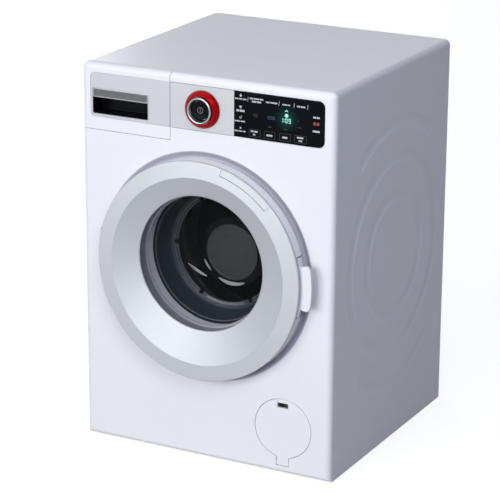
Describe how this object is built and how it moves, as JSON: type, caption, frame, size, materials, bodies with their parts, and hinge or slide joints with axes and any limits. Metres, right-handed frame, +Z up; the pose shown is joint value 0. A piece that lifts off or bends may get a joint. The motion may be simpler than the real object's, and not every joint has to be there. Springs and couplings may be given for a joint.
{
  "type": "toy washing machine",
  "caption": "Toy front-loading washing machine with a hinged round door, turning drum, detergent drawer, programme dial with push button, service flap and battery drive.",
  "frame": {"origin": "on the floor, under the middle of the bounding box", "axes": "+Z up, +X to the right as seen from the front, -Y out of the front panel"},
  "size_m": [0.184, 0.189, 0.26],
  "materials": {
    "white_plastic": "satin white, slightly cool",
    "silver_paint": "satin silver paint",
    "brushed_foil": "brushed",
    "black_gloss": "polished",
    "black_plastic": "satin",
    "charcoal_plastic": "matt",
    "seal_rubber": "satin",
    "red_clear": "clear red",
    "chrome_plate": "bright",
    "clear_plastic": "clear",
    "steel": "plain",
    "acetal": "natural",
    "brass": "plain",
    "board_green": "lacquered",
    "foot_rubber": "matt",
    "cell_jacket": "printed jacket, plain"
  },
  "bodies": {
    "cabinet": {"housing": "white_plastic", "rear_cover": "white_plastic", "base_plate": "white_plastic", "foot_1": "foot_rubber", "foot_2": "foot_rubber", "foot_3": "foot_rubber", "foot_4": "foot_rubber", "control_fascia": "brushed_foil", "display_window": "black_gloss", "display_module": "charcoal_plastic", "dial_ring": "red_clear", "dial_switch": "charcoal_plastic", "control_board": "board_green", "drawer_chute": "charcoal_plastic", "door_catch": "charcoal_plastic", "door_seal": "seal_rubber", "tub": "charcoal_plastic", "shaft_bush": "brass", "idler_pin": "steel", "gear_plate": "charcoal_plastic", "motor": "steel", "battery_box": "charcoal_plastic", "cell_1": "cell_jacket", "cell_2": "cell_jacket", "cell_3": "cell_jacket", "cell_4": "cell_jacket", "battery_cover": "white_plastic", "speaker": "charcoal_plastic", "rear_screw_1": "steel", "rear_screw_2": "steel", "rear_screw_3": "steel", "rear_screw_4": "steel", "rear_screw_5": "steel", "rear_screw_6": "steel"},
    "dial": {"programme_dial": "chrome_plate"},
    "button": {"start_button": "black_plastic"},
    "drawer": {"drawer_front": "white_plastic", "drawer_label": "brushed_foil", "grip_cup": "black_plastic", "grip_trim": "chrome_plate", "drawer_tray": "white_plastic"},
    "door": {"door_ring": "silver_paint", "door_frame": "white_plastic", "door_window": "clear_plastic", "hinge_pin": "steel", "handle_pin": "steel"},
    "handle": {"door_handle": "white_plastic"},
    "flap": {"service_flap": "white_plastic"},
    "drum": {"drum": "black_plastic", "hub_cap": "charcoal_plastic", "drum_shaft": "steel", "drum_gear": "acetal"},
    "idler": {"idler_gear": "acetal"},
    "pinion": {"motor_pinion": "brass"}
  },
  "joints": [
    {"name": "door_hinge", "type": "hinge", "parent": "cabinet", "child": "door", "pos_m": [-0.0745, -0.086, 0.1335], "axis": [0, 0, -1], "range_deg": [0, 110]},
    {"name": "handle_hinge", "type": "hinge", "parent": "door", "child": "handle", "pos_m": [0.069, -0.0865, 0.1335], "axis": [0, 0, -1], "range_deg": [0, 9], "stiffness_Nm_per_rad": 0.02, "springref_deg": -5.73},
    {"name": "drawer_slide", "type": "slide", "parent": "cabinet", "child": "drawer", "axis": [0, -1, 0], "range_m": [0, 0.06]},
    {"name": "dial_turn", "type": "hinge", "parent": "cabinet", "child": "dial", "pos_m": [-0.002, -0.0815, 0.2385], "axis": [0, 1, 0], "range_deg": [-135, 135]},
    {"name": "button_press", "type": "slide", "parent": "dial", "child": "button", "axis": [0, 1, 0], "range_m": [0, 0.001], "stiffness_N_per_m": 150, "springref_m": -0.001},
    {"name": "flap_hinge", "type": "hinge", "parent": "cabinet", "child": "flap", "pos_m": [0.0574, -0.0793, 0.0086], "axis": [1, 0, 0], "range_deg": [0, 88]},
    {"name": "drum_turn", "type": "hinge", "parent": "cabinet", "child": "drum", "pos_m": [0, -0.0315, 0.1335], "axis": [0, 1, 0], "continuous": true},
    {"name": "idler_turn", "type": "hinge", "parent": "cabinet", "child": "idler", "pos_m": [0.01741, 0.0124, 0.10864], "axis": [0, 1, 0], "continuous": true},
    {"name": "pinion_turn", "type": "hinge", "parent": "cabinet", "child": "pinion", "pos_m": [0.04093, 0.0153, 0.10234], "axis": [0, 1, 0], "continuous": true}
  ],
  "couplings": [
    {"joint": "idler_turn", "follows": "drum_turn", "ratio": -3},
    {"joint": "pinion_turn", "follows": "drum_turn", "ratio": 9}
  ]
}
